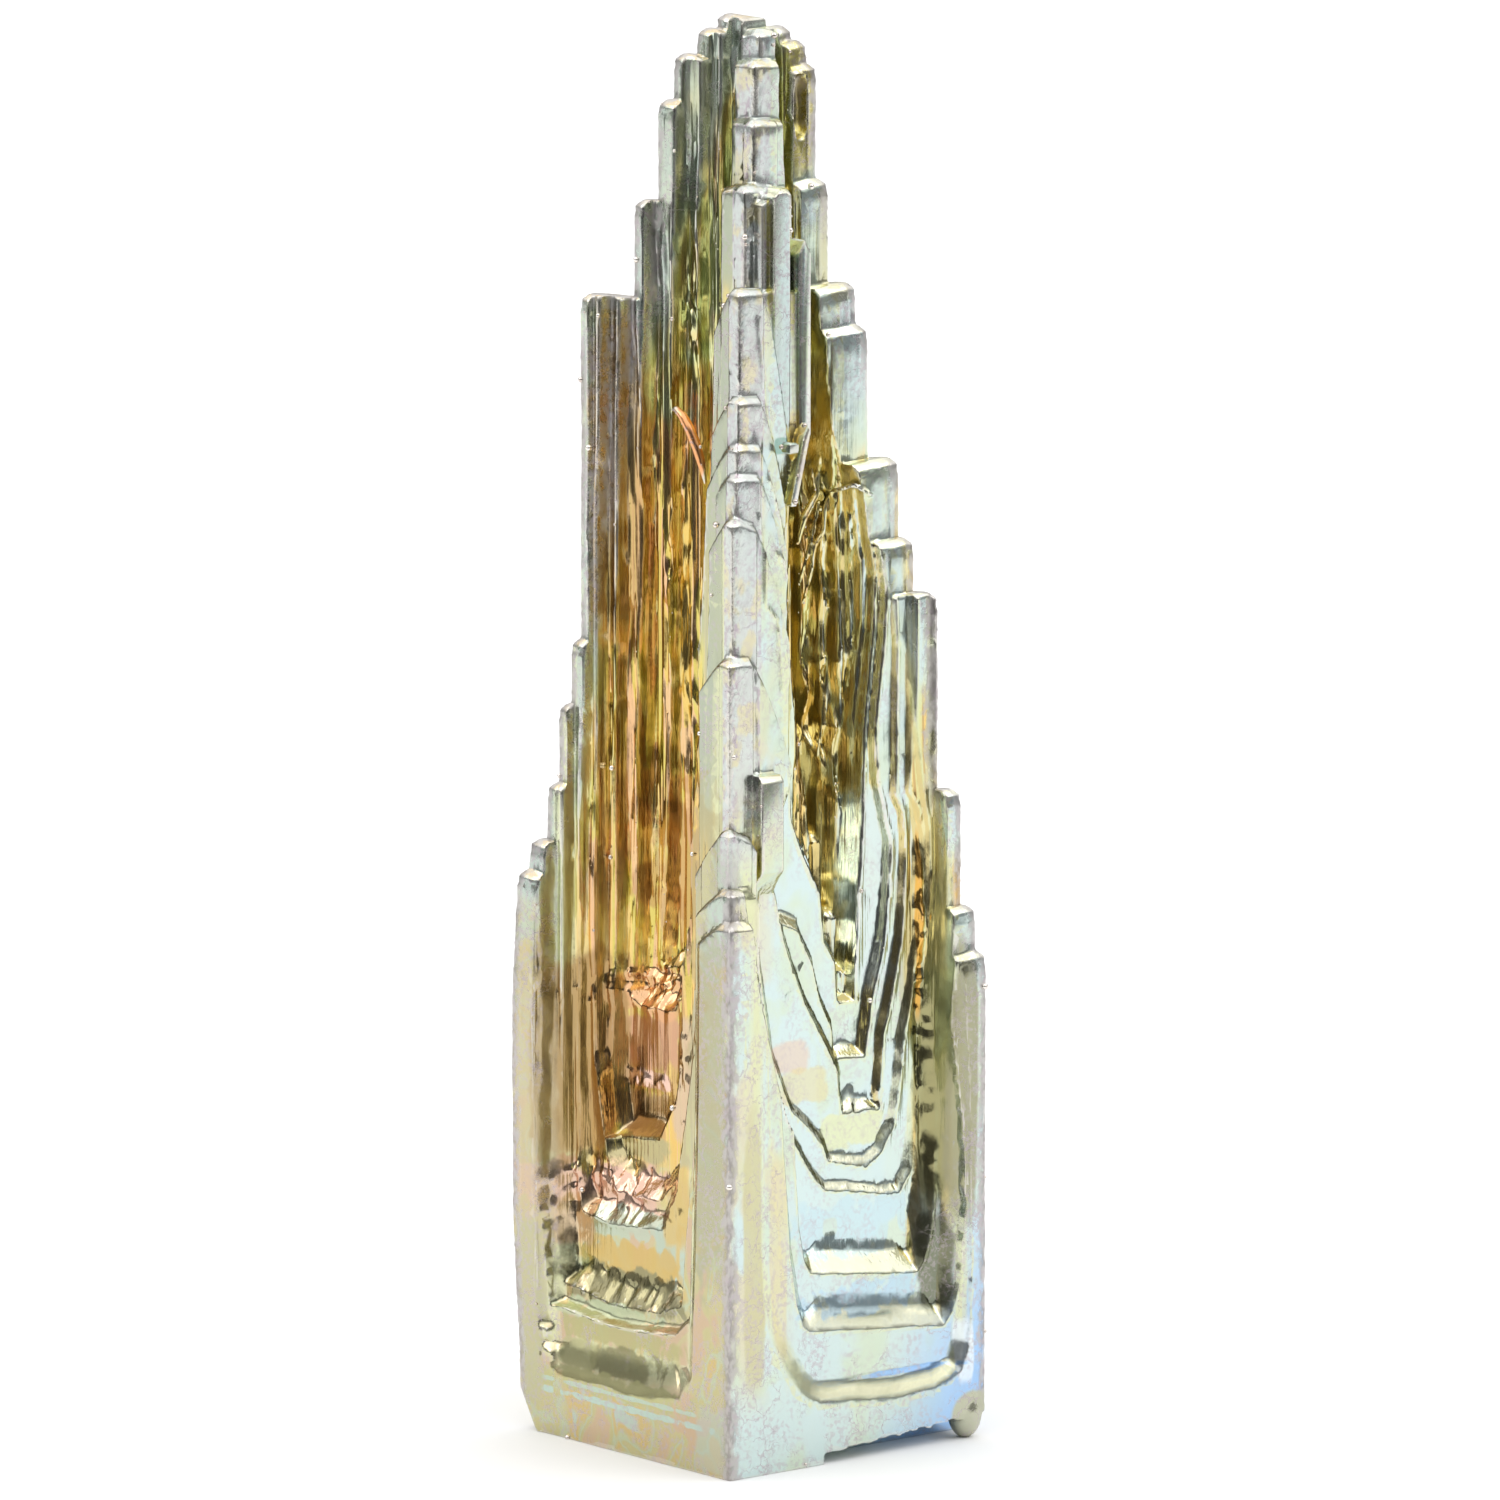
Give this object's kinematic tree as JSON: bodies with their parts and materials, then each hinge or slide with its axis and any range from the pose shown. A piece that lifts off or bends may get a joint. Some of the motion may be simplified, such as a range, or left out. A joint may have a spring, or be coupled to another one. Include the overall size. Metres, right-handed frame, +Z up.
{
  "type": "bismuth hopper crystal",
  "caption": "Tapering square tower of oxidised bismuth with stepped corner posts, sunken terraces on each side and deep channels between the posts.",
  "frame": {"origin": "centre of the crystal's box at the level of the flat base", "axes": "+Z up the tower, X and Y square to the crystal's own faces, -Y out of the pale blue face"},
  "size_m": [0.0114, 0.0114, 0.05],
  "materials": {
    "oxidised_bismuth": "bismuth metal with a thin iridescent oxide film, from pale blue on the outer faces through yellow-green to gold and copper in the channels"
  },
  "bodies": {
    "root": {"bismuth_crystal": "oxidised_bismuth"}
  },
  "joints": []
}
